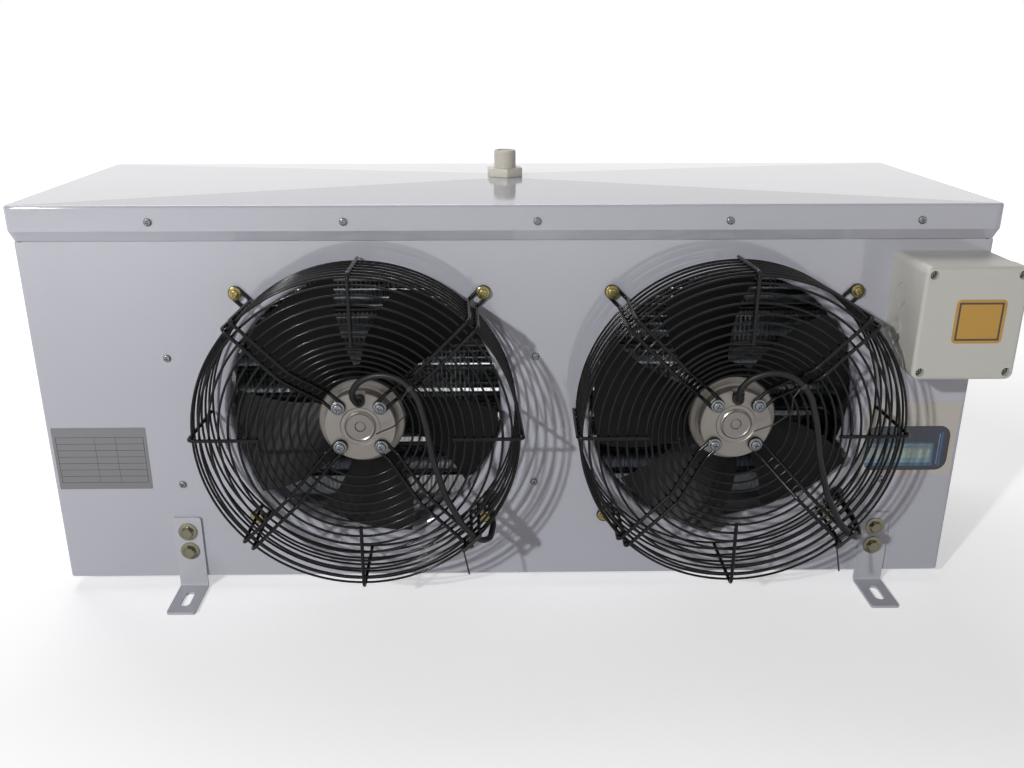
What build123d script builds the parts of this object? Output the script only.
"""Two-fan walk-in unit cooler, standing the way it is shipped: turned over, with its drip tray up.

X runs along the casing, +Y from the fans through the coil to the air inlet, +Z up.  The origin is
the bottom centre of the whole unit.  Every piece is placed by x, by its depth d behind the front
panel's outer face, and by its height h above the casing's lower edge.  Millimetres.
"""
import math
import os

from build123d import *

# ---- driving dimensions: casing ----
CASE_W = 1050.0          # over the end covers
CASE_D = 357.0           # front panel face to rear edge
WALL_H = 402.0           # end covers and front panel below the tray lip
SHEET = 1.2              # painted aluminium sheet
BEND = 1.5               # outside radius of a folded edge
CLEAR = 0.3              # clearance hole on a screw, gap between loose neighbours
EDGE_STRIP = 3.0         # end cover showing past each end of the front panel
COVER_FLANGE = 16.0      # end cover's turned-in edges
LAP_IN = 6.0             # that lap stops short of the panel's ends
LAP_H = 28.0             # front panel and coil plates that stand up inside the tray lip
FOOT_GAP = 15.0          # casing above the surface that the bracket feet stand on

# ---- drip tray ----
TRAY_W = 1058.0
TRAY_OUT = 8.0           # tray lip in front of the panel face, and behind the casing
LIP_BOTTOM = 403.4       # height of the lip's free edge
RIM_H = 441.0            # height of the tray's rim
LIP_CHAMFER = 11.0       # height of the lip's turned-in edge
LIP_IN = 5.5             # how far that edge turns in
DISH_RISE = 9.0          # how far the pan falls to its drain
DISH_IN = 5.0            # the falls start this far inside the rim
TRAY_CORNER = 10.0
RIM_ROUND = 3.0
LIP_SCREW_H = 424.0

# ---- fans ----
FAN_PITCH = 409.0
FAN_MID_X = 43.5         # half way between the two fans
FAN_H = 212.0            # height of both fan axes
FAN_R = 150.0            # blade tip radius
TIP_GAP = 3.5
COLLAR_D = 32.0          # depth of the air collar
COLLAR_BELL = 8.0        # radius of its rounded mouth
BLADES = 5
GUARD_EYE_R = 190.0      # fixing circle of the wire guard
GUARD_R = 176.0          # guard corner, wire centre
GUARD_REAR_R = 173.0     # guard side at the panel, wire centre
GUARD_OUT = 97.0         # guard front, wire centre, in front of the panel
DISH_R = 99.5            # where the guard's front turns in to the motor
RIB_IN_R = 101.0         # inner end of a single rib
LEG_WIRE = 2.0           # wire radii
RING_WIRE = 1.3
LEG_HALF = 6.0           # half the spacing of a leg's two wires
RING_PITCH = 10.0
SIDE_RINGS = 6
MOTOR_FACE = 57.0        # stator face in front of the panel
MOTOR_R = 47.5
FACE_R = 39.0            # front step of the motor's face
RIM_BACK = 20.0          # its full radius starts this far behind the face
FACE_T = 12.0            # metal behind the face
MOTOR_PCD_R = 31.8       # motor screws
CAN_R = 46.0             # outer rotor
SHAFT_R = 4.0
BEARING_OUT_R = 11.0
BEARING_W = 7.0
RUN_GAP = 0.05           # shaft in its bearings
SLIP = 0.02              # pressed and pushed fits

# ---- coil ----
TUBE_R = 4.76
TUBE_PITCH = 38.1        # between neighbouring tubes, on triangles
COLUMN_PITCH = 33.0      # between tube columns through the coil
COLUMNS = 4
TUBES_HIGH = 10
FIN_PITCH = 6.0
FIN_T = 0.25
COIL_REAR_GAP = 12.0     # fins in front of the casing's rear edge
COIL_H = 16.0            # fins' lower edge
PLATE_T = 1.5
PLATE_FLANGE = 25.0
HOLE_GAP = 0.15          # tubes in plates and fins
HEATER_R = 4.0
HEATER_HEIGHTS = (110.0, 250.0)
HEADER_R = 13.0
SUCTION_R = 11.1
HEADER_X = -440.0
LEAD_R = 2.4

# ---- hangers, box, drain ----
HANGER_W = 33.0
HANGER_T = 3.2
HANGER_UP = 78.0         # plate above the casing's edge
HANGER_OUT = 67.0        # foot in front of the panel
SLOT_OUT = 36.0
SLOT_L = 32.0
SLOT_R = 5.5
HANGER_BOLTS = (35.0, 60.0)
BOLT_R = 4.0
BOX_X = (418.0, 525.0)
BOX_H = (272.0, 391.0)
BOX_BASE_D = 62.0
BOX_LID_D = 28.0
BOX_WALL = 2.5
BOX_CORNER = 8.0
DRAIN_D = 158.0          # depth of the drain behind the panel
DRAIN_R = 13.2           # 3/4 inch male thread
DRAIN_BORE = 9.5
DRAIN_UP = 20.0          # threaded tail above its hexagon
HEX_DRAIN = 39.0
HEX_DRAIN_H = 10.0
PANEL_SCREW_H = (120.0, 273.0)
SCREW_R = 2.1
WIRE_HOLE_R = 7.0        # grommet seats in the panel
CABLE_ENTRY = (179.0, -38.0)       # radius and angle of a motor cable's grommet
NIPPLE_R = 9.0           # wiring bush between panel and box
NIPPLE_AT = (472.5, 300.0)
CABLE_R = 3.4
EYE_ANGLES = (45, 135, 225, 315)
RIB_ANGLES = (0, 90, 180, 270)

# ---- smaller sizes, kept beside what they belong to ----
CEILING_EDGE = 20.0      # ceiling sheet's turned-up edges
FOOT_SCREW_D = (60.0, 300.0)
COVER_LAP = 2.5          # end cover's rear edge stops this far from the coil plate's web
COVER_SCREW_X = 500.0
WALL_SCREW_R = 1.9
WIRE_D = 30.0            # motor cables run this far behind the panel
WIRE_H = 18.0
WIRE_WAY_R = 10.0
WIRE_SIDE = {"left": -3.6, "right": 3.6}
WIRE_TAIL = 14.0         # cable inside the box
CABLE_ROUND = 40.0       # largest arc of a cable in front of the panel
CABLE_ROUND_IN = 20.0    # and inside the casing
DRAIN_SEAT = 52.0
DRAIN_DOWN = 20.0
DRAIN_SEAL = 2.0
DRAIN_NUT = 6.0
BEND_OUT = 6.0           # straight tube between a plate and its return bend
INLET_OUT = 30.0
TUBE_WALL = 0.5
HEADER_WALL = 1.0
HEADER_END = 16.0
PIPE_END = CASE_D + 45.0
PIPE_SLEEVE = 3.0        # rubber round the pipes in the end cover
PIPE_PIN = 38.0          # sized end that a socket slides on
PIPE_STEP = 0.4          # the rest of the outlet is this much larger
SUCTION_OUT = (HEADER_X, 352.0, SUCTION_R)
LIQUID_R = 6.35
LIQUID_OUT = (-490.0, 300.0, LIQUID_R)
DISTRIBUTOR_D = 250.0
SOCKET_RING = 8.0
SOCKET_DEEP = 8.0
LEAD_BOW = 25.0
LEAD_X = -412.0
LEAD_ROUND = 8.0
HEATER_HALF = 25.0
HEATER_TAIL = 8.0
HEATER_END = 30.0
HEATER_SLEEVE = 30.0
CAP_R = 17.0
HUB_R = 15.0
CAN_BACK = 20.0
CAN_WALL = 2.5
HUB_SHORT = 8.0          # hub tube stops this far inside the can's back
CORE_R = 42.0
CABLE_HOLE_UP = 29.0
CABLE_HOLE_R = 6.5
NOTCH_DEEP = 6.0         # cable notch, open at the top of the face
CORE_START = 27.0        # core and rotor can start this far behind the face
BAND_T = 3.0
BAND_W = 30.0
IMPELLER_REST = {"left": 26.0, "right": -22.0}
BLADE_T = 2.2
BLADE_D = 2.0            # blade band's middle behind the panel
# radius, chord, pitch from the plane of rotation, forward sweep, camber
BLADE_ROWS = ((40, 62, 44, 0, 0.07), (80, 88, 34, 3, 0.07), (120, 112, 27, 9, 0.06), (165, 132, 22, 18, 0.05))
TIE_R = 167.8            # cable tie's place along the leg
TIE_T = 1.2
TIE_W = 3.6
TIE_TAIL = 31.0
TIE_SPARE = 5.0          # the cable lies this far off the leg inside the tie
BOLT_HEX = 13.0
BOLT_HEAD = 5.5
BOLT_WASHER = (11.0, 1.6)
BOLT_LONG = 17.5
NUT_H = 6.0
GASKET_T = 1.5
BOX_FIXINGS = ((462.0, 376.0), (503.0, 294.0))     # screws from the box into the panel
BOX_SCREW_IN = 8.5       # lid screws from the box's edges
KNOCKOUTS = ((349.0, 13.0), (312.0, 14.0), (312.0, 10.5))
KNOCKOUT_D = 32.0
KNOCKOUT_W = 1.6
TERMINALS = 8
HANGER_BEND = 2.5        # inside radius of the bracket's fold
HANGER_CORNER = 3.0
MOTOR_TIE_RUN = 5        # the run of the cable that the small tie sits on

# ---- worked out from the above ----
HALF_W = CASE_W / 2
FAN_X = {"left": FAN_MID_X - FAN_PITCH / 2, "right": FAN_MID_X + FAN_PITCH / 2}
PLATE_X = (FAN_MID_X - FAN_PITCH, FAN_MID_X, FAN_MID_X + FAN_PITCH)
FLANGE_X = [x - PLATE_FLANGE / 2 for x in PLATE_X]
COLLAR_R = FAN_R + TIP_GAP
FIN_D = COLUMNS * COLUMN_PITCH
FIN_H = (TUBES_HIGH + 0.5) * TUBE_PITCH
FIN_BACK = CASE_D - COIL_REAR_GAP
FIN_FRONT = FIN_BACK - FIN_D
RING_IN = LEG_WIRE + RING_WIRE
HEATER_D = FIN_FRONT - HEATER_R - CLEAR
CABLE_FRONT = GUARD_OUT + LEG_WIRE + CLEAR + CABLE_R
FRONT_REACH = CABLE_FRONT + CABLE_R + CLEAR + TIE_T
REAR_REACH = CASE_D + HANGER_OUT
PANEL_Y = (FRONT_REACH - REAR_REACH) / 2
TOP_H = WALL_H + LAP_H
LIP_SCREW_X = [FLANGE_X[1] + step * FAN_PITCH / 2 for step in (-2, -1, 0, 1, 2)]


def at(x, d, h):
    """The point at x, depth d behind the panel face and height h above the casing's edge."""
    return Vector(x, PANEL_Y + d, FOOT_GAP + h)


def block(x, d, h):
    """A box from three (low, high) pairs."""
    size = [pair[1] - pair[0] for pair in (x, d, h)]
    low = at(x[0], d[0], h[0])
    return Pos(low.X, low.Y, low.Z) * Box(*size, align=Align.MIN)


def rod(point, direction, radius, length):
    """A round bar from a point along a direction."""
    return Solid.make_cylinder(radius, length, Plane(origin=point, z_dir=direction))


def ring(point, direction, outer, inner, length):
    """A plain ring or washer from a point along a direction."""
    return rod(point, direction, outer, length) - rod(point, direction, inner, length)


def hexagon(point, direction, across, length):
    """A hexagonal prism, given across its flats."""
    face = Plane(origin=point, z_dir=direction) * RegularPolygon(across / 2, 6, major_radius=False)
    return extrude(face, length)


def turned(outline, x, h, d=0.0):
    """A solid turned about a line along Y; the outline is (radius, depth) points."""
    axis = Plane(origin=at(x, d, h), x_dir=(1, 0, 0), z_dir=(0, 0, 1))
    return revolve(axis * make_face(Polyline(*outline, close=True)), Axis(at(x, d, h), (0, 1, 0)))


def pipe(points, radii, radius):
    """A round bar swept along straight runs joined by tangent arcs."""
    corners = [Vector(*point) for point in points]
    path = FilletPolyline(*corners, radius=radii)
    return sweep(Plane(origin=corners[0], z_dir=corners[1] - corners[0]) * Circle(radius), path=path)


def spun(piece, x, h, angle):
    """A piece turned about a fan's axis."""
    pivot = at(x, 0, h)
    return Pos(pivot.X, pivot.Y, pivot.Z) * Rot(0, angle, 0) * Pos(-pivot.X, -pivot.Y, -pivot.Z) * piece


def polar(x, h, radius, angle, d):
    """A point at a radius and an angle from a fan's axis, anticlockwise from +X as seen from the front."""
    turn = math.radians(angle)
    return at(x + radius * math.cos(turn), d, h + radius * math.sin(turn))


def pan_screw(point, direction, shank_r, head_r, head_h, shank_l, washer_r=0.0, washer_t=0.0):
    """A pan-head screw whose washer or head sits on the point; the direction points out of the head."""
    back = Vector(direction) * -1
    screw = rod(point, back, shank_r, shank_l)
    seat = Vector(point)
    if washer_r:
        screw += rod(seat, direction, washer_r, washer_t)
        seat += Vector(direction) * washer_t
    head = rod(seat, direction, head_r, head_h)
    head = fillet(head.edges().sort_by(Axis(seat, direction))[-1:], head_h * 0.45)
    return screw + head



def through(x, d, h, radius, depth=3 * PLATE_T):
    """A hole's cutter through a sheet, along Y."""
    return rod(at(x, d - depth / 3, h), (0, 1, 0), radius, depth)


# ------------------------------------------------------------------ casing
def front_panel():
    """Fan panel with its two drawn air collars."""
    width = CASE_W - 2 * EDGE_STRIP
    sheet = block((-width / 2, width / 2), (0, SHEET), (0, WALL_H))
    sheet += block((LAP_IN - width / 2, width / 2 - LAP_IN), (0, SHEET), (WALL_H, TOP_H))
    cuts = []
    for x in FAN_X.values():
        cuts.append(through(x, 0, FAN_H, COLLAR_R + COLLAR_BELL))
        for angle in EYE_ANGLES:
            cuts.append(rod(polar(x, FAN_H, GUARD_EYE_R, angle, -1), (0, 1, 0), SCREW_R, 3 * SHEET))
        cuts.append(rod(polar(x, FAN_H, *CABLE_ENTRY, -1), (0, 1, 0), WIRE_HOLE_R, 3 * SHEET))
    cuts += [through(x, 0, h, SCREW_R) for x in FLANGE_X for h in PANEL_SCREW_H]
    cuts += [through(x, 0, LIP_SCREW_H, SCREW_R) for x in LIP_SCREW_X]
    cuts += [through(x, 0, h, BOLT_R + CLEAR) for x in (FLANGE_X[0], FLANGE_X[-1]) for h in HANGER_BOLTS]
    cuts.append(through(NIPPLE_AT[0], 0, NIPPLE_AT[1], NIPPLE_R + CLEAR))
    cuts += [through(x, 0, h, SCREW_R) for x, h in BOX_FIXINGS]
    sheet -= cuts
    for x in FAN_X.values():
        sheet += collar(x)
    return sheet


def collar(x):
    """Bell mouth and straight throat, as thick as the panel."""
    plane = Plane(origin=at(x, 0, FAN_H), x_dir=(1, 0, 0), z_dir=(0, 0, 1))
    mouth = COLLAR_R + COLLAR_BELL
    outer, back = COLLAR_BELL * math.sqrt(0.5), (COLLAR_BELL - SHEET) * math.sqrt(0.5)
    edge = [
        ThreePointArc((mouth, 0), (mouth - outer, COLLAR_BELL - outer), (COLLAR_R, COLLAR_BELL)),
        Line((COLLAR_R, COLLAR_BELL), (COLLAR_R, COLLAR_D)),
        Line((COLLAR_R, COLLAR_D), (COLLAR_R + SHEET, COLLAR_D)),
        Line((COLLAR_R + SHEET, COLLAR_D), (COLLAR_R + SHEET, COLLAR_BELL)),
        ThreePointArc((COLLAR_R + SHEET, COLLAR_BELL), (mouth - back, COLLAR_BELL - back), (mouth, SHEET)),
        Line((mouth, SHEET), (mouth, 0)),
    ]
    return revolve(plane * make_face(edge), Axis(at(x, 0, FAN_H), (0, 1, 0)))


def ceiling_panel():
    """The sheet that lies against the ceiling, with stiffening edges between the coil plates."""
    inside = HALF_W - SHEET
    sheet = block((-inside, inside), (2 * SHEET, CASE_D), (0, SHEET))
    for left, right in zip(PLATE_X[:-1], FLANGE_X[1:]):
        span = (left + PLATE_T + CLEAR, right - PLATE_FLANGE / 2 - CLEAR)
        for d in ((SHEET, 2 * SHEET), (CASE_D - SHEET, CASE_D)):
            sheet += block(span, d, (0, CEILING_EDGE))
    holes = [rod(at(x, d, -SHEET), (0, 0, 1), SCREW_R, 3 * SHEET) for x in FLANGE_X for d in FOOT_SCREW_D]
    return sheet - holes


def end_cover(side):
    """End cover: one sheet folded round the end compartment; side is -1 at the left, 1 at the right."""
    outer = side * HALF_W
    inner = outer - side * SHEET
    rear_end = PLATE_X[0] - COVER_LAP if side < 0 else PLATE_X[-1] - PLATE_FLANGE + COVER_LAP
    cover = block(sorted((outer, inner)), (SHEET, CASE_D), (0, WALL_H))
    cover += block(sorted((outer, outer - side * COVER_FLANGE)), (SHEET, 2 * SHEET), (0, WALL_H))
    cover += block(sorted((outer, rear_end)), (CASE_D - SHEET, CASE_D), (SHEET, WALL_H))
    corners = cover.edges().filter_by(Axis.Z).group_by(Axis.X)[0 if side < 0 else -1]
    cover = fillet(corners, BEND)
    hanger_x = FLANGE_X[0] if side < 0 else FLANGE_X[-1]
    cover -= [through(hanger_x, CASE_D - SHEET, h, BOLT_R + CLEAR) for h in HANGER_BOLTS]
    cover -= [through(side * COVER_SCREW_X, CASE_D - SHEET, h, SCREW_R) for h in PANEL_SCREW_H]
    if side < 0:
        cover -= [through(x, CASE_D - SHEET, h, r + PIPE_SLEEVE) for x, h, r in (SUCTION_OUT, LIQUID_OUT)]
    return cover


def coil_plate(index):
    """Coil end or middle plate with flanges to the front panel, the rear and the ceiling sheet."""
    x = PLATE_X[index]
    foot = SHEET
    web = block((x, x + PLATE_T), (SHEET, CASE_D - SHEET), (foot, TOP_H))
    web += block((x - PLATE_FLANGE, x), (SHEET, SHEET + PLATE_T), (foot, TOP_H))
    web += block((x - PLATE_FLANGE, x), (CASE_D - SHEET - PLATE_T, CASE_D - SHEET), (foot, TOP_H))
    web += block((x - PLATE_FLANGE, x), (SHEET + PLATE_T, CASE_D - SHEET - PLATE_T), (foot, foot + PLATE_T))
    cuts = [rod(at(x - 1, d, h), (1, 0, 0), TUBE_R + HOLE_GAP, 4) for d, h in tube_places()]
    cuts += [rod(at(x - 1, d, h), (1, 0, 0), HEATER_R + HOLE_GAP, 4) for d, h in heater_rods(index)]
    cuts.append(rod(at(x - 1, WIRE_D, WIRE_H), (1, 0, 0), WIRE_WAY_R, 4))
    middle = x - PLATE_FLANGE / 2
    cuts += [through(middle, SHEET, h, SCREW_R) for h in (*PANEL_SCREW_H, LIP_SCREW_H)]
    rear = CASE_D - SHEET - PLATE_T
    cuts += [through(middle, rear, h, SCREW_R) for h in (LIP_SCREW_H,)]
    cuts += [rod(at(middle, d, foot - 1), (0, 0, 1), SCREW_R, 4) for d in FOOT_SCREW_D]
    if index != 1:
        for h in HANGER_BOLTS:
            cuts.append(through(middle, SHEET, h, BOLT_R + CLEAR))
            cuts.append(through(middle, rear, h, BOLT_R + CLEAR))
    return web - cuts


# ------------------------------------------------------------------ drip tray
def tray_shell(inset, drop):
    """The tray's outer skin, shrunk sideways by inset and lowered by drop."""
    wide, deep = TRAY_W - 2 * inset, CASE_D + 2 * TRAY_OUT - 2 * inset
    middle = Plane(origin=at(0, CASE_D / 2, LIP_BOTTOM + LIP_CHAMFER))
    outline = RectangleRounded(wide, deep, TRAY_CORNER - inset)
    upper = extrude(middle * outline, RIM_H - drop - LIP_BOTTOM - LIP_CHAMFER)
    upper = fillet(upper.edges().group_by(Axis.Z)[-1], RIM_ROUND - inset)
    turn_in = math.degrees(math.atan2(LIP_IN, LIP_CHAMFER))
    lower = extrude(middle * outline, -LIP_CHAMFER - drop / 10, taper=turn_in)
    base = Plane(origin=at(0, CASE_D / 2, RIM_H - drop)) * Rectangle(wide - 2 * DISH_IN, deep - 2 * DISH_IN)
    seat = Plane(origin=at(0, DRAIN_D, RIM_H - drop + DISH_RISE)) * Rectangle(DRAIN_SEAT, DRAIN_SEAT)
    return upper + lower + loft([base, seat])


def drip_tray():
    """Drip tray: turned-in lip all round, four falls to the drain."""
    pan = tray_shell(0, 0) - tray_shell(SHEET, SHEET)
    holes = [rod(at(0, DRAIN_D, RIM_H), (0, 0, 1), DRAIN_R + CLEAR, 2 * DISH_RISE)]
    holes += [through(x, -TRAY_OUT, LIP_SCREW_H, SCREW_R) for x in LIP_SCREW_X]
    holes += [through(x, CASE_D + TRAY_OUT - SHEET, LIP_SCREW_H, SCREW_R) for x in FLANGE_X]
    return pan - holes


def drain_fitting():
    """Plastic drain: threaded tails each side of a hexagon, bored right through."""
    seat = RIM_H + DISH_RISE
    core = hexagon(at(0, DRAIN_D, seat), (0, 0, 1), HEX_DRAIN, HEX_DRAIN_H)
    core += rod(at(0, DRAIN_D, seat), (0, 0, 1), DRAIN_R, HEX_DRAIN_H + DRAIN_UP)
    core = chamfer(core.edges().group_by(Axis.Z)[-1], 1.5)
    core += rod(at(0, DRAIN_D, seat), (0, 0, -1), DRAIN_R, DRAIN_DOWN)
    return core - rod(at(0, DRAIN_D, seat - 2 * DRAIN_DOWN), (0, 0, 1), DRAIN_BORE, 100)


def drain_nut():
    """Lock nut inside the tray."""
    low = RIM_H + DISH_RISE - SHEET - DRAIN_SEAL - DRAIN_NUT
    nut = hexagon(at(0, DRAIN_D, low), (0, 0, 1), HEX_DRAIN - 2, DRAIN_NUT)
    return nut - rod(at(0, DRAIN_D, low - 1), (0, 0, 1), DRAIN_R + SLIP, DRAIN_NUT + 2)


def drain_seal():
    """Rubber washer between the tray and the lock nut."""
    low = RIM_H + DISH_RISE - SHEET - DRAIN_SEAL
    return ring(at(0, DRAIN_D, low), (0, 0, 1), HEX_DRAIN / 2, DRAIN_R + SLIP, DRAIN_SEAL)


# ------------------------------------------------------------------ coil
def tube_places():
    """Depth and height of every tube, column by column; odd columns sit half a pitch up."""
    places = []
    for column in range(COLUMNS):
        for row in range(TUBES_HIGH):
            places.append(tube_at(column, row))
    return places


def tube_at(column, row):
    """Depth and height of one tube."""
    lift = 0.5 if column % 2 == 0 else 1.0
    return FIN_FRONT + (column + 0.5) * COLUMN_PITCH, COIL_H + (lift + row) * TUBE_PITCH


def fin_pack():
    """Aluminium fins; one slot clears each column of tubes."""
    plane = Plane(origin=at(0, FIN_FRONT + FIN_D / 2, COIL_H + FIN_H / 2), x_dir=(0, 1, 0), z_dir=(1, 0, 0))
    outline = Rectangle(FIN_D, FIN_H)
    for column in range(COLUMNS):
        first, last = tube_at(column, 0), tube_at(column, TUBES_HIGH - 1)
        place = ((first[0] - FIN_FRONT - FIN_D / 2), (first[1] + last[1]) / 2 - COIL_H - FIN_H / 2)
        width = 2 * (TUBE_R + HOLE_GAP)
        outline -= Pos(*place) * Rectangle(width, last[1] - first[1] + width)
    fin = extrude(plane * outline, FIN_T)
    count = int(2 * FAN_PITCH / FIN_PITCH)
    fins = []
    for number in range(1, count):
        x = PLATE_X[0] + number * FIN_PITCH
        if abs(x - PLATE_X[1]) > FIN_PITCH / 2:
            fins.append(Pos(x, 0, 0) * fin)
    return Compound(children=fins)


def serpentine(runs, section):
    """A section swept along parallel straight runs joined by half-round bends."""
    edges = []
    for number, (start, end) in enumerate(runs):
        edges.append(Edge.make_line(start, end))
        if number + 1 < len(runs):
            following = runs[number + 1][0]
            out = (end - start).normalized() * ((following - end).length / 2)
            edges.append(Edge.make_three_point_arc(end, (end + following) / 2 + out, following))
    first = runs[0]
    return sweep(Plane(origin=first[0], z_dir=first[1] - first[0]) * section, path=Wire(edges))


def circuit_runs(number):
    """One circuit: eight tubes in series through two rows, with both ends at the left."""
    order = [(column, 2 * number) for column in reversed(range(COLUMNS))]
    order += [(column, 2 * number + 1) for column in range(COLUMNS)]
    near, far = PLATE_X[0] - BEND_OUT, PLATE_X[-1] + PLATE_T + BEND_OUT
    runs = []
    for step, place in enumerate(order):
        ends = (near, far) if step % 2 == 0 else (far, near)
        runs.append([at(x, *tube_at(*place)) for x in ends])
    runs[0][0] = at(PLATE_X[0] - INLET_OUT, *tube_at(*order[0]))
    runs[-1][1] = at(HEADER_X, *tube_at(*order[-1]))
    return runs


def coil_tubes():
    """All circuits; each is one copper tube with its return bends."""
    tubes = []
    wall = Circle(TUBE_R) - Circle(TUBE_R - TUBE_WALL)
    for number in range(TUBES_HIGH // 2):
        d, h = tube_at(COLUMNS - 1, 2 * number + 1)
        inside = rod(at(HEADER_X, d, h - HEADER_R), (0, 0, 1), HEADER_R - HEADER_WALL, 2 * HEADER_R)
        tubes.append(serpentine(circuit_runs(number), wall) - inside)
    return Compound(children=tubes)


def suction_header():
    """Header that gathers the circuits, closed at its ends, with its outlet through the rear."""
    d, low = tube_at(COLUMNS - 1, 1)
    top = tube_at(COLUMNS - 1, TUBES_HIGH - 1)[1] + HEADER_END
    start = low - HEADER_END
    header = rod(at(HEADER_X, d, start), (0, 0, 1), HEADER_R, top - start)
    out = SUCTION_OUT[1]
    stub = rod(at(HEADER_X, d, out), (0, 1, 0), SUCTION_R + PIPE_STEP, PIPE_END - PIPE_PIN - d)
    stub += rod(at(HEADER_X, PIPE_END - PIPE_PIN, out), (0, 1, 0), SUCTION_R, PIPE_PIN)
    bore = rod(at(HEADER_X, d, start + HEADER_WALL), (0, 0, 1), HEADER_R - HEADER_WALL, top - start - 2 * HEADER_WALL)
    bore += rod(at(HEADER_X, d, out), (0, 1, 0), SUCTION_R - HEADER_WALL, PIPE_END)
    holes = []
    for number in range(TUBES_HIGH // 2):
        place = tube_at(COLUMNS - 1, 2 * number + 1)
        holes.append(rod(at(HEADER_X, *place), (1, 0, 0), TUBE_R + SLIP, 2 * HEADER_R))
    return header + stub - bore - holes


def liquid_distributor():
    """Brass distributor: a turned cone with one socket for each lead, and the liquid pipe."""
    x, h = LIQUID_OUT[0], LIQUID_OUT[1]
    plane = Plane(origin=at(x, 0, h), x_dir=(1, 0, 0), z_dir=(0, 0, 1))
    nose = DISTRIBUTOR_D
    outline = [(0, nose), (13, nose), (13, nose + 14), (LIQUID_R + 1.5, nose + 34), (LIQUID_R + 1.5, nose + 44),
               (LIQUID_R + PIPE_STEP, nose + 44), (LIQUID_R + PIPE_STEP, PIPE_END - PIPE_PIN),
               (LIQUID_R, PIPE_END - PIPE_PIN), (LIQUID_R, PIPE_END), (LIQUID_R - 1, PIPE_END),
               (LIQUID_R - 1, nose + 20), (0, nose + 20)]
    body = revolve(plane * make_face(Polyline(*outline, close=True)), Axis(at(x, 0, h), (0, 1, 0)))
    return body - [rod(lead_socket(n), (0, 1, 0), LEAD_R + SLIP, SOCKET_DEEP) for n in range(TUBES_HIGH // 2)]


def lead_socket(number):
    """Mouth of one of the distributor's sockets."""
    turn = math.radians(72 * number - 90)
    x = LIQUID_OUT[0] + SOCKET_RING * math.cos(turn)
    return at(x, DISTRIBUTOR_D, LIQUID_OUT[1] + SOCKET_RING * math.sin(turn))


def distributor_leads():
    """Thin copper leads from the distributor to each circuit's inlet."""
    leads = []
    for number in range(TUBES_HIGH // 2):
        socket = lead_socket(number)
        d, h = tube_at(COLUMNS - 1, 2 * number)
        bow = DISTRIBUTOR_D - LEAD_BOW - number * 3 * LEAD_R
        points = [socket + Vector(0, SOCKET_DEEP - 1, 0), at(socket.X, bow, socket.Z - FOOT_GAP),
                  at(LEAD_X, bow, h), at(LEAD_X, d, h), at(PLATE_X[0] - INLET_OUT, d, h)]
        leads.append(pipe(points, LEAD_ROUND, LEAD_R))
    return Compound(children=leads)


def heater_rods(index):
    """Depth and height of each heater rod through a plate; the far plate has none."""
    if index == 2:
        return []
    return [(HEATER_D, h) for middle in HEATER_HEIGHTS for h in (middle - HEATER_HALF, middle + HEATER_HALF)]


def coil_heaters():
    """Defrost heaters: hairpin elements in front of the fins, with rubber-sleeved ends at the left."""
    heaters = []
    start, end = PLATE_X[0] - HEATER_TAIL, PLATE_X[-1] - HEATER_END
    for middle in HEATER_HEIGHTS:
        low, high = middle - HEATER_HALF, middle + HEATER_HALF
        runs = [[at(start, HEATER_D, low), at(end, HEATER_D, low)], [at(end, HEATER_D, high), at(start, HEATER_D, high)]]
        element = serpentine(runs, Circle(HEATER_R))
        for h in (low, high):
            element += rod(at(start, HEATER_D, h), (-1, 0, 0), HEATER_R + 2, HEATER_SLEEVE)
        heaters.append(element)
    return Compound(children=heaters)


def tray_heater():
    """Defrost heater that rests on the coil plates under the tray."""
    h = TOP_H + HEATER_R
    low, high = PLATE_X[0] - 20, PLATE_X[-1] + 15
    front, rear = DRAIN_D - 70, DRAIN_D + 110
    points = [at(low, front, h), at(high, front, h), at(high, rear, h), at(low, rear, h)]
    return pipe(points, 25, HEATER_R)


# ------------------------------------------------------------------ wire guards
def leg_outline(sideways):
    """Centre line of one strand of a leg, from the motor screw out to the panel."""
    w_motor, w_front, w_rear = -(MOTOR_FACE + LEG_WIRE), -GUARD_OUT, -LEG_WIRE
    return [(MOTOR_PCD_R, sideways, w_motor), (MOTOR_R + 2, sideways, w_motor), (DISH_R, sideways, w_front),
            (GUARD_R, sideways, w_front), (GUARD_REAR_R, sideways, w_rear), (GUARD_EYE_R, sideways, w_rear)]


def guard_strand(sign):
    """Half of a leg: quarter turn round the motor screw, the strand, quarter turn round the eye."""
    v, diagonal = sign * LEG_HALF, LEG_HALF * math.sqrt(0.5)
    points = leg_outline(v)
    strand = FilletPolyline(*points, radius=[8, 12, 6, 5])
    inner, outer = points[0], points[-1]
    tip_in, tip_out = Vector(inner[0] - LEG_HALF, 0, inner[2]), Vector(outer[0] + LEG_HALF, 0, outer[2])
    mid_in = Vector(inner[0] - diagonal, sign * diagonal, inner[2])
    mid_out = Vector(outer[0] + diagonal, sign * diagonal, outer[2])
    first = Edge.make_three_point_arc(tip_in, mid_in, Vector(*inner))
    last = Edge.make_three_point_arc(Vector(*outer), mid_out, tip_out)
    section = Plane(origin=tip_in, z_dir=(0, sign, 0)) * Circle(LEG_WIRE)
    return sweep(section, path=Wire([first, *strand.edges(), last]))


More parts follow.
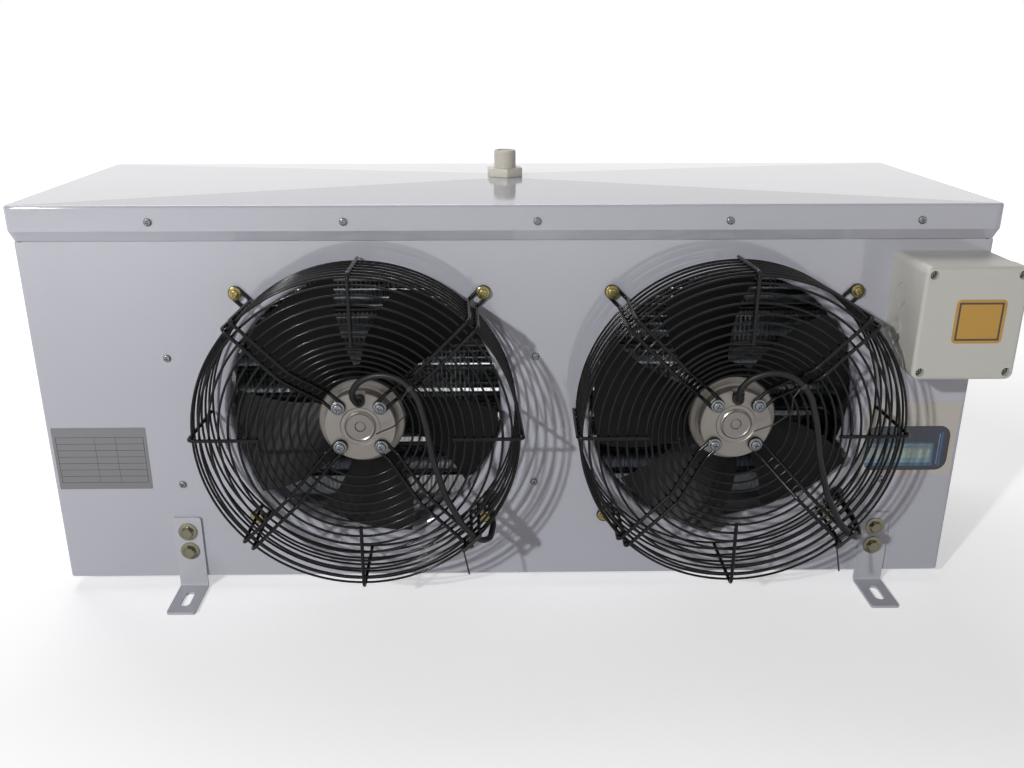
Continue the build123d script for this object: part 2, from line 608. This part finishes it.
def guard_rings():
    """Radius and depth of every ring's centre, laid against the inside of the legs."""
    places = []
    for number in range(SIDE_RINGS):
        share = (number + 0.5) / (SIDE_RINGS + 0.5)
        places.append((GUARD_REAR_R + (GUARD_R - GUARD_REAR_R) * share - RING_IN, -share * GUARD_OUT))
    front = RING_IN - GUARD_OUT
    places.append((GUARD_R - RING_IN - 1, front + 1))
    radius = GUARD_R - RING_PITCH - 2
    while radius > DISH_R + RING_IN:
        places.append((radius, front))
        radius -= RING_PITCH
    slope_u, slope_w = DISH_R - MOTOR_R - 2, GUARD_OUT - MOTOR_FACE - LEG_WIRE
    length = math.hypot(slope_u, slope_w)
    along = RING_PITCH / 2
    while along < length - RING_IN:
        share = along / length
        radius = DISH_R - slope_u * share + RING_IN * slope_w / length
        places.append((radius, -GUARD_OUT + slope_w * share + RING_IN * slope_u / length))
        along += RING_PITCH
    return places


def fan_guard(x):
    """Wire guard that also carries the motor: four looped legs, four single ribs, and rings."""
    origin = at(x, 0, FAN_H)
    leg = guard_strand(1) + guard_strand(-1)
    w_front = -GUARD_OUT
    rib = pipe([(RIB_IN_R, 0, w_front), (GUARD_R, 0, w_front), (GUARD_REAR_R, 0, -3 * LEG_WIRE)], 6, LEG_WIRE)
    wires = []
    for base, angles in ((leg, EYE_ANGLES), (rib, RIB_ANGLES)):
        for angle in angles:
            turn = math.radians(angle)
            frame = Plane(origin=origin, x_dir=(math.cos(turn), 0, math.sin(turn)), z_dir=(0, 1, 0))
            wires.append(frame.from_local_coords(base))
    for radius, depth in guard_rings():
        wires.append(Solid.make_torus(radius, RING_WIRE, Plane(origin=at(x, depth, FAN_H), z_dir=(0, 1, 0))))
    return Compound(children=wires)


# ------------------------------------------------------------------ fan motors
def stator_base(x):
    """Cast flange of the outer-rotor motor: screw face, rim step, hub tube and cable notch."""
    face, rim = -MOTOR_FACE, -MOTOR_FACE + RIM_BACK
    outline = [(CAP_R, face + 3), (CAP_R, face + 0.8), (CAP_R + 4, face + 0.8), (CAP_R + 5, face),
               (FACE_R - 1, face), (FACE_R, face + 1), (FACE_R, rim - 4), (FACE_R + 2, rim - 2),
               (MOTOR_R - 1.5, rim - 2), (MOTOR_R, rim), (MOTOR_R, rim + 4), (FACE_R - 3, rim + 4),
               (FACE_R - 3, face + FACE_T), (HUB_R, face + FACE_T), (HUB_R, CAN_BACK - HUB_SHORT),
               (BEARING_OUT_R - 1, CAN_BACK - HUB_SHORT), (BEARING_OUT_R - 1, face + 3)]
    base = turned(outline, x, FAN_H)
    for d in bearing_depths():
        base -= rod(at(x, d, FAN_H), (0, 1, 0), BEARING_OUT_R + SLIP, BEARING_W)
    notch = at(x, face - 1, FAN_H + CABLE_HOLE_UP)
    base -= rod(notch, (0, 1, 0), CABLE_HOLE_R, NOTCH_DEEP + 1)
    base -= block((x - CABLE_HOLE_R, x + CABLE_HOLE_R), (face - 1, face + NOTCH_DEEP),
                  (FAN_H + CABLE_HOLE_UP, FAN_H + FACE_R + 1))
    for angle in EYE_ANGLES:
        base -= rod(polar(x, FAN_H, MOTOR_PCD_R, angle, face - 1), (0, 1, 0), SCREW_R + SLIP, 8)
    return base


def bearing_depths():
    """Front face of each bearing, at the two ends of the hub tube."""
    return (-MOTOR_FACE + 6, CAN_BACK - HUB_SHORT - BEARING_W)


def stator_core(x):
    """Laminated core and windings on the hub tube, under the outer rotor."""
    front, back = -MOTOR_FACE + CORE_START, CAN_BACK - HUB_SHORT - 4
    core = ring(at(x, front + 8, FAN_H), (0, 1, 0), CORE_R, HUB_R + SLIP, back - front - 16)
    slot = rod(at(x, front, FAN_H) + Vector(CORE_R + 2, 0, 0), (0, 1, 0), 4.5, back - front)
    core -= [spun(slot, x, FAN_H, number * 30) for number in range(12)]
    for start in (front, back - 8):
        winding = ring(at(x, start, FAN_H), (0, 1, 0), CORE_R - 5, HUB_R + 3, 8)
        core += fillet(winding.edges().filter_by(GeomType.CIRCLE), 2.5)
    return core


def motor_cap(x):
    """Pressed steel cap that closes the front bearing, dimpled in the middle."""
    face = -MOTOR_FACE
    outline = [(0, face + 0.6), (5, face + 0.6), (6, face - 0.6), (CAP_R - 3, face - 0.6), (CAP_R - 1.5, face - 1.4),
               (CAP_R - SLIP, face - 0.4), (CAP_R - SLIP, face + 3), (0, face + 3)]
    return turned(outline, x, FAN_H)


def bearings(x):
    """Two ball bearings, each drawn as its shielded ring."""
    rings = []
    for d in bearing_depths():
        body = ring(at(x, d, FAN_H), (0, 1, 0), BEARING_OUT_R, SHAFT_R + RUN_GAP, BEARING_W)
        for end in (d - 1, d + BEARING_W - 0.4):
            body -= ring(at(x, end, FAN_H), (0, 1, 0), BEARING_OUT_R - 2, SHAFT_R + 2, 1.4)
        rings.append(body)
    return Compound(children=rings)


def rotor(x):
    """Outer rotor can with its shaft: the can is open towards the guard."""
    front = -MOTOR_FACE + CORE_START
    wall = CAN_R - CAN_WALL
    outline = [(CAN_R, front), (CAN_R, CAN_BACK - 3), (CAN_R - 3, CAN_BACK), (0, CAN_BACK), (0, -MOTOR_FACE + 4),
               (SHAFT_R, -MOTOR_FACE + 4), (SHAFT_R, CAN_BACK - HUB_SHORT + 2), (9, CAN_BACK - HUB_SHORT + 2),
               (9, CAN_BACK - CAN_WALL), (wall, CAN_BACK - CAN_WALL), (wall, front)]
    return turned(outline, x, FAN_H)


def blade_section(radius, chord, pitch, sweep_angle, camber):
    """One blade section on the plane that touches a cylinder of this radius."""
    half, rise = chord / 2, camber * chord
    under = ThreePointArc((-half, 0), (0, rise), (half, 0))
    over = ThreePointArc((half, BLADE_T * 0.6), (0, rise + BLADE_T), (-half, BLADE_T * 0.6))
    ends = [Line((half, 0), (half, BLADE_T * 0.6)), Line((-half, BLADE_T * 0.6), (-half, 0))]
    frame = Plane(origin=(0, 0, 0), x_dir=(1, 0, 0), z_dir=(0, 0, 1))
    section = Rot(0, 0, pitch) * make_face([under, ends[0], over, ends[1]])
    return Rot(0, sweep_angle, 0) * Pos(0, 0, radius) * frame.from_local_coords(section)


def impeller(side):
    """Five swept blades on the band that grips the rotor can."""
    sections = [blade_section(*row) for row in BLADE_ROWS]
    blade = loft(sections)
    blade = blade & (rod((0, -80, 0), (0, 1, 0), FAN_R, 160) - rod((0, -80, 0), (0, 1, 0), CAN_R + 1, 160))
    wheel = rod((0, -BAND_W / 2, 0), (0, 1, 0), CAN_R + BAND_T, BAND_W)
    wheel -= rod((0, -BAND_W, 0), (0, 1, 0), CAN_R + SLIP, 2 * BAND_W)
    for number in range(BLADES):
        wheel += Rot(0, number * 360 / BLADES, 0) * blade
    middle = at(FAN_X[side], BLADE_D, FAN_H)
    return Pos(middle.X, middle.Y, middle.Z) * Rot(0, IMPELLER_REST[side], 0) * wheel


def motor_screws(x):
    """Four screws with broad washers that clamp the guard's inner loops to the stator."""
    seat = -MOTOR_FACE - 2 * LEG_WIRE
    screws = [pan_screw(polar(x, FAN_H, MOTOR_PCD_R, angle, seat), (0, -1, 0), SCREW_R, 5.4, 3.2, 10, 7.2, 1.4)
              for angle in EYE_ANGLES]
    return Compound(children=screws)


def guard_screws(x):
    """Four screws with washers that hold the guard's outer loops to the panel."""
    seat = -2 * LEG_WIRE
    screws = [pan_screw(polar(x, FAN_H, GUARD_EYE_R, angle, seat), (0, -1, 0), SCREW_R - SLIP, 4.6, 2.8, 14, 7, 1.2)
              for angle in EYE_ANGLES]
    return Compound(children=screws)


# ------------------------------------------------------------------ motor cables
def motor_grommet(x):
    """Rubber bush in the stator's cable notch."""
    start = at(x, -MOTOR_FACE - 2, FAN_H + CABLE_HOLE_UP)
    return ring(start, (0, 1, 0), CABLE_HOLE_R - SLIP, CABLE_R + SLIP, 8)


def panel_grommet(x):
    """Rubber grommet where a motor cable goes through the front panel."""
    point = polar(x, FAN_H, *CABLE_ENTRY, 0)
    seat, lip, hole = WIRE_HOLE_R - SLIP, WIRE_HOLE_R + 2, CABLE_R + SLIP
    outline = [(hole, -3), (lip, -2), (lip, 0), (seat, 0), (seat, SHEET), (lip, SHEET), (lip, SHEET + 2),
               (hole, SHEET + 3)]
    return turned(outline, point.X, point.Z - FOOT_GAP)


def cable_points(side):
    """Route of one motor cable: out of the stator, over the motor, along a leg, into the panel."""
    x = FAN_X[side]
    entry = polar(x, FAN_H, *CABLE_ENTRY, 0)
    entry_x, entry_h = entry.X, entry.Z - FOOT_GAP
    route = [(0, CABLE_HOLE_UP, -MOTOR_FACE + 3), (0, CABLE_HOLE_UP, -MOTOR_FACE - 13), (-6, 44, -MOTOR_FACE - 21),
             (4, 60, -MOTOR_FACE - 25), (26, 69, -MOTOR_FACE - 29), (50, 64, -MOTOR_FACE - 33),
             (66, 46, -MOTOR_FACE - 38), (74, 16, -CABLE_FRONT + 3), (80, -20, -CABLE_FRONT),
             (93, -64, -CABLE_FRONT), (110, -97, -CABLE_FRONT), (128, -116, -CABLE_FRONT), (140, -121, -90),
             (144, -117, -62)]
    points = [at(x + a, d, FAN_H + b) for a, b, d in route]
    points += [at(entry_x, -26, entry_h), at(entry_x, WIRE_D, entry_h),
               at(entry_x, WIRE_D, WIRE_H + WIRE_SIDE[side])]
    lane = NIPPLE_AT[0] - WIRE_SIDE[side]
    points += [at(lane, WIRE_D, WIRE_H + WIRE_SIDE[side]), at(lane, WIRE_D, NIPPLE_AT[1]),
               at(lane, -BOX_WALL - WIRE_TAIL, NIPPLE_AT[1])]
    return points


def motor_cable(side):
    """Black round cable of one fan motor."""
    points = cable_points(side)
    radii = []
    for before, here, after in zip(points, points[1:], points[2:]):
        turn = math.radians((here - before).get_angle(after - here))
        run = min((here - before).length, (after - here).length)
        largest = CABLE_ROUND if here.Y < PANEL_Y else CABLE_ROUND_IN
        radii.append(min(0.45 * run / math.tan(turn / 2), largest))
    return pipe(points, radii, CABLE_R)


def tie_frame(side):
    """Local frame of a fan's lower right leg: x outwards, y along the fan's turn, z to the front."""
    turn = math.radians(-45)
    out = Vector(math.cos(turn), 0, math.sin(turn))
    return Plane(origin=at(FAN_X[side], 0, FAN_H), x_dir=out, z_dir=(0, -1, 0))


def cable_ties(side):
    """Two nylon ties: one round the leg and the cable, one round the cable by the motor."""
    frame = tie_frame(side)
    v_low, v_high = -LEG_HALF - LEG_WIRE - CLEAR, LEG_HALF + CABLE_R + TIE_SPARE
    w_low, w_high = GUARD_OUT - LEG_WIRE - CLEAR, CABLE_FRONT + CABLE_R + CLEAR
    inner = Box(2 * TIE_W, v_high - v_low, w_high - w_low)
    outer = Box(TIE_W, v_high - v_low + 2 * TIE_T, w_high - w_low + 2 * TIE_T)
    outer = fillet(outer.edges().filter_by(Axis.X), 2)
    middle = ((v_high + v_low) / 2, (w_high + w_low) / 2)
    band = Pos(TIE_R, *middle) * (outer - fillet(inner.edges().filter_by(Axis.X), 0.8))
    head = Pos(TIE_R, v_low - TIE_T - 1.5, w_high - 3) * Box(5, 3.4, 4.6)
    ties = frame.from_local_coords(band + head)
    start = frame.from_local_coords(Vector(TIE_R, v_low - TIE_T - 1.5, w_high - 3))
    tail = rod(start, (0.2, 0, -1), 1.0, TIE_TAIL)
    return [ties + tail, motor_tie(side)]


def motor_tie(side):
    """Small tie round the cable beside the motor, with its long tail bent back."""
    route = cable_points(side)
    before, after = route[MOTOR_TIE_RUN], route[MOTOR_TIE_RUN + 1]
    along = (after - before).normalized()
    middle = (before + after) / 2 - along * (TIE_W / 2)
    band = ring(middle, along, CABLE_R + CLEAR + TIE_T, CABLE_R + CLEAR, TIE_W)
    x = FAN_X[side]
    reach = CABLE_R + CLEAR + TIE_T
    side_way = along.cross(Vector(0, 1, 0)).normalized()
    start = middle + along * (TIE_W / 2) - side_way * (reach - 0.4)
    bend = [(52, 22, -24), (38, 6, -16), (18, -5, -9)]
    points = [start, start - side_way * 6 + Vector(-2, 0, -6)]
    points += [at(x + a, d - MOTOR_FACE, FAN_H + b) for a, b, d in bend]
    return band + pipe(points, 4, 0.8)


# ------------------------------------------------------------------ hangers
def hanger(x, front):
    """Folded steel bracket: two bolts to the casing, slotted foot against the ceiling."""
    half = HANGER_W / 2
    plate = block((x - half, x + half), (-HANGER_T, 0), (-FOOT_GAP, HANGER_UP))
    plate += block((x - half, x + half), (-HANGER_OUT, 0), (-FOOT_GAP, HANGER_T - FOOT_GAP))
    edges = plate.edges().filter_by(Axis.X)
    plate = fillet(edges.sort_by_distance(at(x, 0, -FOOT_GAP))[0], HANGER_T + HANGER_BEND)
    inside = plate.edges().filter_by(Axis.X).sort_by_distance(at(x, -HANGER_T, HANGER_T - FOOT_GAP))[0]
    plate = fillet(inside, HANGER_BEND)
    corners = plate.edges().filter_by(Axis.Z).group_by(Axis.Y)[0]
    plate = fillet(corners + plate.edges().filter_by(Axis.Y).group_by(Axis.Z)[-1], HANGER_CORNER)
    slot = Plane(origin=at(x, -SLOT_OUT, -FOOT_GAP - 1)) * SlotOverall(SLOT_L, 2 * SLOT_R, rotation=90)
    plate -= extrude(slot, HANGER_T + 2)
    plate -= [through(x, -HANGER_T, h, BOLT_R + CLEAR, 9) for h in HANGER_BOLTS]
    if front:
        return plate
    middle = at(x, CASE_D / 2, 0)
    return Pos(middle.X, middle.Y, 0) * Rot(0, 0, 180) * Pos(-middle.X, -middle.Y, 0) * plate


def hanger_places():
    """Name, x and side of each bracket."""
    return [(f"{end}_{way}_hanger", x, way == "front") for way in ("front", "rear")
            for end, x in (("left", FLANGE_X[0]), ("right", FLANGE_X[-1]))]


def hanger_bolts():
    """Hexagon bolts with washers, through bracket, casing and coil plate."""
    bolts = []
    for _, x, front in hanger_places():
        out = Vector(0, -1 if front else 1, 0)
        seat_d = -HANGER_T if front else CASE_D + HANGER_T
        for h in HANGER_BOLTS:
            seat = at(x, seat_d, h)
            head = hexagon(seat + out * BOLT_WASHER[1], out, BOLT_HEX, BOLT_HEAD)
            bolts.append(rod(seat, out, *BOLT_WASHER) + head + rod(seat, out * -1, BOLT_R, BOLT_LONG - BOLT_HEAD))
    return Compound(children=bolts)


def hanger_nuts():
    """Nuts inside the casing."""
    nuts = []
    for _, x, front in hanger_places():
        start = SHEET + PLATE_T if front else CASE_D - SHEET - PLATE_T - NUT_H
        for h in HANGER_BOLTS:
            nut = hexagon(at(x, start, h), (0, 1, 0), BOLT_HEX, NUT_H)
            nuts.append(nut - rod(at(x, start - 1, h), (0, 1, 0), BOLT_R + SLIP, NUT_H + 2))
    return Compound(children=nuts)


# ------------------------------------------------------------------ junction box
def box_plane(d):
    """Plane across the box at a depth, facing the front."""
    return Plane(origin=at(sum(BOX_X) / 2, d, sum(BOX_H) / 2), x_dir=(1, 0, 0), z_dir=(0, -1, 0))


def box_outline(inset):
    """The box's rounded outline, shrunk by inset."""
    wide, high = BOX_X[1] - BOX_X[0] - 2 * inset, BOX_H[1] - BOX_H[0] - 2 * inset
    return RectangleRounded(wide, high, max(BOX_CORNER - inset, 1))


def box_screw_places():
    """x and height of each lid screw."""
    return [(x, h) for x in (BOX_X[0] + BOX_SCREW_IN, BOX_X[1] - BOX_SCREW_IN)
            for h in (BOX_H[0] + BOX_SCREW_IN, BOX_H[1] - BOX_SCREW_IN)]


def box_base():
    """Moulded base with screw pillars, knock-outs and the wiring hole."""
    base = extrude(box_plane(0) * box_outline(1), BOX_BASE_D)
    base -= extrude(box_plane(-BOX_WALL) * box_outline(1 + BOX_WALL), BOX_BASE_D)
    for x, h in box_screw_places():
        base += rod(at(x, -BOX_WALL, h), (0, -1, 0), 5, BOX_BASE_D - BOX_WALL - 3)
    base = base & extrude(box_plane(0) * box_outline(1), BOX_BASE_D)
    cuts = [rod(at(x, -20, h), (0, -1, 0), WALL_SCREW_R + SLIP, BOX_BASE_D) for x, h in box_screw_places()]
    cuts.append(rod(at(NIPPLE_AT[0], 1, NIPPLE_AT[1]), (0, -1, 0), NIPPLE_R + SLIP, BOX_WALL + 2))
    cuts += [through(x, 0, h, SCREW_R + SLIP, 9) for x, h in BOX_FIXINGS]
    for end in (BOX_X[0] + 1, BOX_X[1] - 1):
        for h, radius in KNOCKOUTS:
            cuts.append(ring(at(end - 1, -KNOCKOUT_D, h), (1, 0, 0), radius, radius - KNOCKOUT_W, 2))
    return base - cuts


def box_gasket():
    """Rubber seal under the lid."""
    low = box_plane(-BOX_BASE_D)
    return extrude(low * (box_outline(1.2) - box_outline(3.2)), GASKET_T)


def box_lid():
    """Moulded lid with sunk screw heads."""
    front = BOX_BASE_D + GASKET_T
    high = BOX_BASE_D + BOX_LID_D - front
    lid = extrude(box_plane(-front) * box_outline(0), high)
    lid = fillet(lid.edges().group_by(Axis.Y)[0], 4)
    lid -= extrude(box_plane(-front) * box_outline(3.5), high - 2.5)
    for x, h in box_screw_places():
        lid += rod(at(x, -front, h), (0, -1, 0), 6.2, high - 2)
    cuts = []
    for x, h in box_screw_places():
        cuts.append(rod(at(x, -front + 1, h), (0, -1, 0), SCREW_R, BOX_LID_D + 2))
        cuts.append(rod(at(x, -front - high + 7, h), (0, -1, 0), 4.5, 10))
    return lid - cuts


def box_screws():
    """Lid screws, sunk in the lid's corners."""
    seat = -(BOX_BASE_D + BOX_LID_D) + 7
    return Compound(children=[pan_screw(at(x, seat, h), (0, -1, 0), WALL_SCREW_R, 3.8, 2.6, 38)
                              for x, h in box_screw_places()])


def box_fixing_screws():
    """Screws from inside the box into the front panel."""
    return Compound(children=[pan_screw(at(x, -BOX_WALL, h), (0, -1, 0), SCREW_R - SLIP, 4, 2.6, 9)
                              for x, h in BOX_FIXINGS])


def box_nipple():
    """Flanged bush that carries the motor cables from the casing into the box."""
    x, h = NIPPLE_AT
    body = ring(at(x, SHEET + 4, h), (0, -1, 0), NIPPLE_R, NIPPLE_R - 1, SHEET + 4 + BOX_WALL + 5)
    return body + ring(at(x, SHEET + 2, h), (0, -1, 0), NIPPLE_R + 3, NIPPLE_R - 1, 2)


def terminal_block():
    """Row of screw terminals on the base."""
    x, h = sum(BOX_X) / 2, sum(BOX_H) / 2 + 20
    block_plane = Plane(origin=at(x, -BOX_WALL, h), x_dir=(1, 0, 0), z_dir=(0, -1, 0))
    rail = extrude(block_plane * RectangleRounded(TERMINALS * 9 + 8, 26, 2), 8)
    for number in range(TERMINALS):
        place = at(x + (number - (TERMINALS - 1) / 2) * 9, -BOX_WALL - 8, h)
        tower = Plane(origin=place, x_dir=(1, 0, 0), z_dir=(0, -1, 0)) * Rectangle(7.6, 20)
        rail += extrude(tower, 10)
        for up in (-6, 6):
            rail -= rod(place + Vector(0, -6, up), (0, -1, 0), 2.6, 6)
    return rail


# ------------------------------------------------------------------ screws of the casing
def tray_screws():
    """Screws through the tray's lip into the panel at the front and the coil plates at the rear."""
    screws = [pan_screw(at(x, -TRAY_OUT, LIP_SCREW_H), (0, -1, 0), WALL_SCREW_R, 4.2, 2.6, TRAY_OUT + 6)
              for x in LIP_SCREW_X]
    rear = CASE_D + TRAY_OUT
    screws += [pan_screw(at(x, rear, LIP_SCREW_H), (0, 1, 0), WALL_SCREW_R, 4.2, 2.6, TRAY_OUT + 6)
               for x in FLANGE_X]
    return Compound(children=screws)


def panel_screws():
    """Screws through the front panel into the coil plates."""
    return Compound(children=[pan_screw(at(x, 0, h), (0, -1, 0), WALL_SCREW_R, 4.2, 2.6, 9)
                              for x in FLANGE_X for h in PANEL_SCREW_H if x != FLANGE_X[-1] or h < BOX_H[0]])


def ceiling_screws():
    """Screws up through the ceiling sheet into the coil plates' feet."""
    return Compound(children=[pan_screw(at(x, d, 0), (0, 0, -1), WALL_SCREW_R, 4.2, 2.6, 9)
                              for x in FLANGE_X for d in FOOT_SCREW_D])


def pipe_grommets():
    """Rubber sleeves where the two pipes leave the end cover."""
    sleeves = []
    for x, h, radius in (SUCTION_OUT, LIQUID_OUT):
        inner = radius + PIPE_STEP + SLIP
        sleeves.append(ring(at(x, CASE_D - 3, h), (0, 1, 0), radius + PIPE_SLEEVE - SLIP, inner, 5))
    return Compound(children=sleeves)


# ------------------------------------------------------------------ all the nodes
def build():
    """Every node of the unit, by name."""
    nodes = {
        "front_panel": front_panel(), "ceiling_panel": ceiling_panel(),
        "left_end_cover": end_cover(-1), "right_end_cover": end_cover(1),
        "left_coil_plate": coil_plate(0), "middle_coil_plate": coil_plate(1), "right_coil_plate": coil_plate(2),
        "drip_tray": drip_tray(), "drain_fitting": drain_fitting(), "drain_nut": drain_nut(),
        "drain_seal": drain_seal(), "fin_pack": fin_pack(), "coil_tubes": coil_tubes(),
        "suction_header": suction_header(), "liquid_distributor": liquid_distributor(),
        "distributor_leads": distributor_leads(), "coil_heaters": coil_heaters(), "tray_heater": tray_heater(),
        "box_base": box_base(), "box_gasket": box_gasket(), "box_lid": box_lid(), "box_screws": box_screws(),
        "box_fixing_screws": box_fixing_screws(), "box_nipple": box_nipple(), "terminal_block": terminal_block(),
        "tray_screws": tray_screws(), "panel_screws": panel_screws(), "ceiling_screws": ceiling_screws(),
        "pipe_grommets": pipe_grommets(), "hanger_bolts": hanger_bolts(), "hanger_nuts": hanger_nuts(),
    }
    for name, x, front in hanger_places():
        nodes[name] = hanger(x, front)
    for side, x in FAN_X.items():
        nodes[f"{side}_fan_guard"] = fan_guard(x)
        nodes[f"{side}_stator_base"] = stator_base(x)
        nodes[f"{side}_stator_core"] = stator_core(x)
        nodes[f"{side}_motor_cap"] = motor_cap(x)
        nodes[f"{side}_bearings"] = bearings(x)
        nodes[f"{side}_rotor"] = rotor(x)
        nodes[f"{side}_impeller"] = impeller(side)
        nodes[f"{side}_motor_screws"] = motor_screws(x)
        nodes[f"{side}_guard_screws"] = guard_screws(x)
        nodes[f"{side}_motor_grommet"] = motor_grommet(x)
        nodes[f"{side}_motor_cable"] = motor_cable(side)
    nodes["panel_grommets"] = Compound(children=[panel_grommet(x) for x in FAN_X.values()])
    nodes["cable_ties"] = Compound(children=[tie for side in FAN_X for tie in cable_ties(side)])
    return nodes


os.makedirs("parts", exist_ok=True)
for name, piece in build().items():
    export_step(piece, f"parts/{name}.step")
